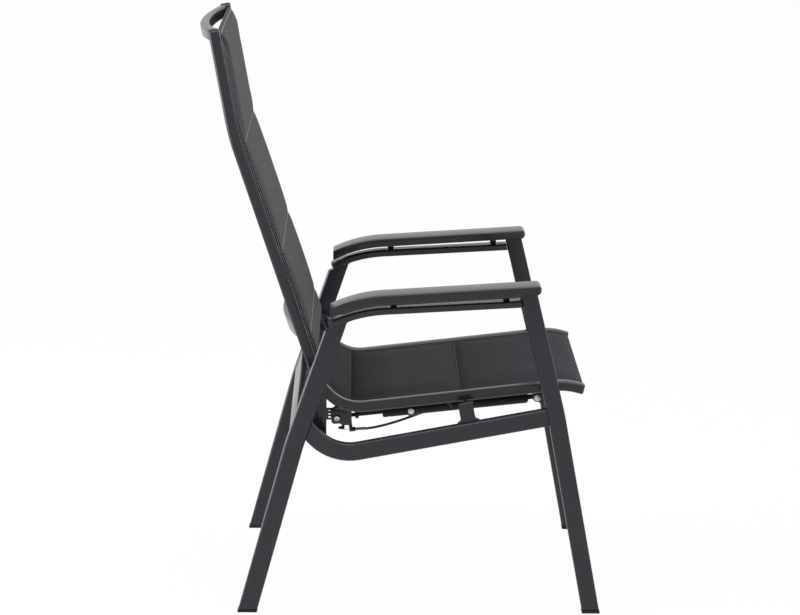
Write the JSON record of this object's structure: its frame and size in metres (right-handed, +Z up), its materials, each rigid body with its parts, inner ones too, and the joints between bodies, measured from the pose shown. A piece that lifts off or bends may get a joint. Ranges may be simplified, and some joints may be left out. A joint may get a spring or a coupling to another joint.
{
  "type": "reclining sling garden armchair",
  "caption": "High-back garden armchair with a padded sling seat and back; the back reclines against a locking gas spring, the seat slides with it.",
  "frame": {"origin": "on the floor under the middle of the chair's outline", "axes": "+X is the way a sitter faces, +Y is the sitter's left, +Z is up"},
  "size_m": [0.7741, 0.628, 1.1118],
  "materials": {
    "coated_frame": "satin dark grey powder coat",
    "armrest_plastic": "satin dark grey plastic",
    "black_plastic": "matt black plastic",
    "black_steel": "black coated steel",
    "zinc_steel": "zinc plated",
    "seat_fabric": "dark grey coated mesh weave, padded",
    "back_fabric": "dark grey coated mesh weave, padded"
  },
  "bodies": {
    "base": {"rear_leg_left": "coated_frame", "front_leg_left": "coated_frame", "arm_tube_left": "coated_frame", "lower_rail_left": "coated_frame", "armrest_left": "armrest_plastic", "arm_spacer_rear_left": "black_plastic", "arm_screw_rear_left": "black_steel", "arm_spacer_front_left": "black_plastic", "arm_screw_front_left": "black_steel", "foot_cap_rear_left": "black_plastic", "foot_cap_front_left": "black_plastic", "rear_leg_right": "coated_frame", "front_leg_right": "coated_frame", "arm_tube_right": "coated_frame", "lower_rail_right": "coated_frame", "armrest_right": "armrest_plastic", "arm_spacer_rear_right": "black_plastic", "arm_screw_rear_right": "black_steel", "arm_spacer_front_right": "black_plastic", "arm_screw_front_right": "black_steel", "foot_cap_rear_right": "black_plastic", "foot_cap_front_right": "black_plastic", "rear_crossbar": "coated_frame", "front_crossbar": "coated_frame", "spring_lug": "coated_frame", "spring_bolt": "zinc_steel", "back_pivot_left": "zinc_steel", "back_pivot_right": "zinc_steel", "guide_stud_left": "zinc_steel", "guide_bush_left": "black_plastic", "guide_stud_right": "zinc_steel", "guide_bush_right": "black_plastic", "lever_housing": "black_plastic", "release_cable_front": "black_plastic"},
    "back": {"top_bar": "coated_frame", "lumbar_bar": "coated_frame", "back_rail_left": "coated_frame", "arm_plate_left": "coated_frame", "back_rail_right": "coated_frame", "arm_plate_right": "coated_frame", "back_lower_bar": "coated_frame", "back_sling": "back_fabric"},
    "seat": {"seat_rail_left": "coated_frame", "seat_hinge_bolt_left": "zinc_steel", "seat_rail_right": "coated_frame", "seat_hinge_bolt_right": "zinc_steel", "seat_crossbar_front": "coated_frame", "seat_crossbar_rear": "coated_frame", "seat_sling": "seat_fabric"},
    "cylinder": {"gas_cylinder": "black_steel", "spring_clamp": "black_steel", "clamp_bolt": "zinc_steel"},
    "piston": {"piston_rod": "black_steel", "rod_lock_nut": "black_steel", "release_head": "black_plastic", "head_pin": "zinc_steel", "cable_stop": "black_plastic", "release_cable_rear": "black_plastic"},
    "release_lever": {"release_lever": "black_steel"},
    "hand_lever": {"hand_lever": "black_plastic"}
  },
  "joints": [
    {"name": "recline", "type": "hinge", "parent": "base", "child": "back", "pos_m": [-0.15857, 0, 0.451], "axis": [0, -1, 0], "range_deg": [0, 20]},
    {"name": "seat_hinge", "type": "hinge", "parent": "back", "child": "seat", "pos_m": [-0.16487, 0, 0.396], "axis": [0, -1, 0], "range_deg": [-20, 0.2]},
    {"name": "spring_swing", "type": "hinge", "parent": "base", "child": "cylinder", "pos_m": [0.27792, 0, 0.3567], "axis": [0, -1, 0], "range_deg": [-2.5, 0.1]},
    {"name": "spring_stroke", "type": "slide", "parent": "cylinder", "child": "piston", "axis": [0.9941, 0, 0.1087], "range_m": [-0.0005, 0.0474], "deforming": ["release_cable_rear"]},
    {"name": "hand_lever_hinge", "type": "hinge", "parent": "base", "child": "hand_lever", "pos_m": [0.14395, -0.2522, 0.60197], "axis": [0, -1, 0], "range_deg": [0, 12], "stiffness_Nm_per_rad": 0.4},
    {"name": "release_lever_hinge", "type": "hinge", "parent": "piston", "child": "release_lever", "pos_m": [-0.11006, 0, 0.30623], "axis": [0, -1, 0], "range_deg": [-0.1, 12.1]}
  ],
  "couplings": [
    {"joint": "seat_hinge", "follows": "recline", "ratio": -0.98258},
    {"joint": "spring_swing", "follows": "recline", "ratio": -0.11691},
    {"joint": "spring_stroke", "follows": "recline", "m_per_rad": 0.13492},
    {"joint": "release_lever_hinge", "follows": "hand_lever_hinge", "ratio": 1}
  ]
}
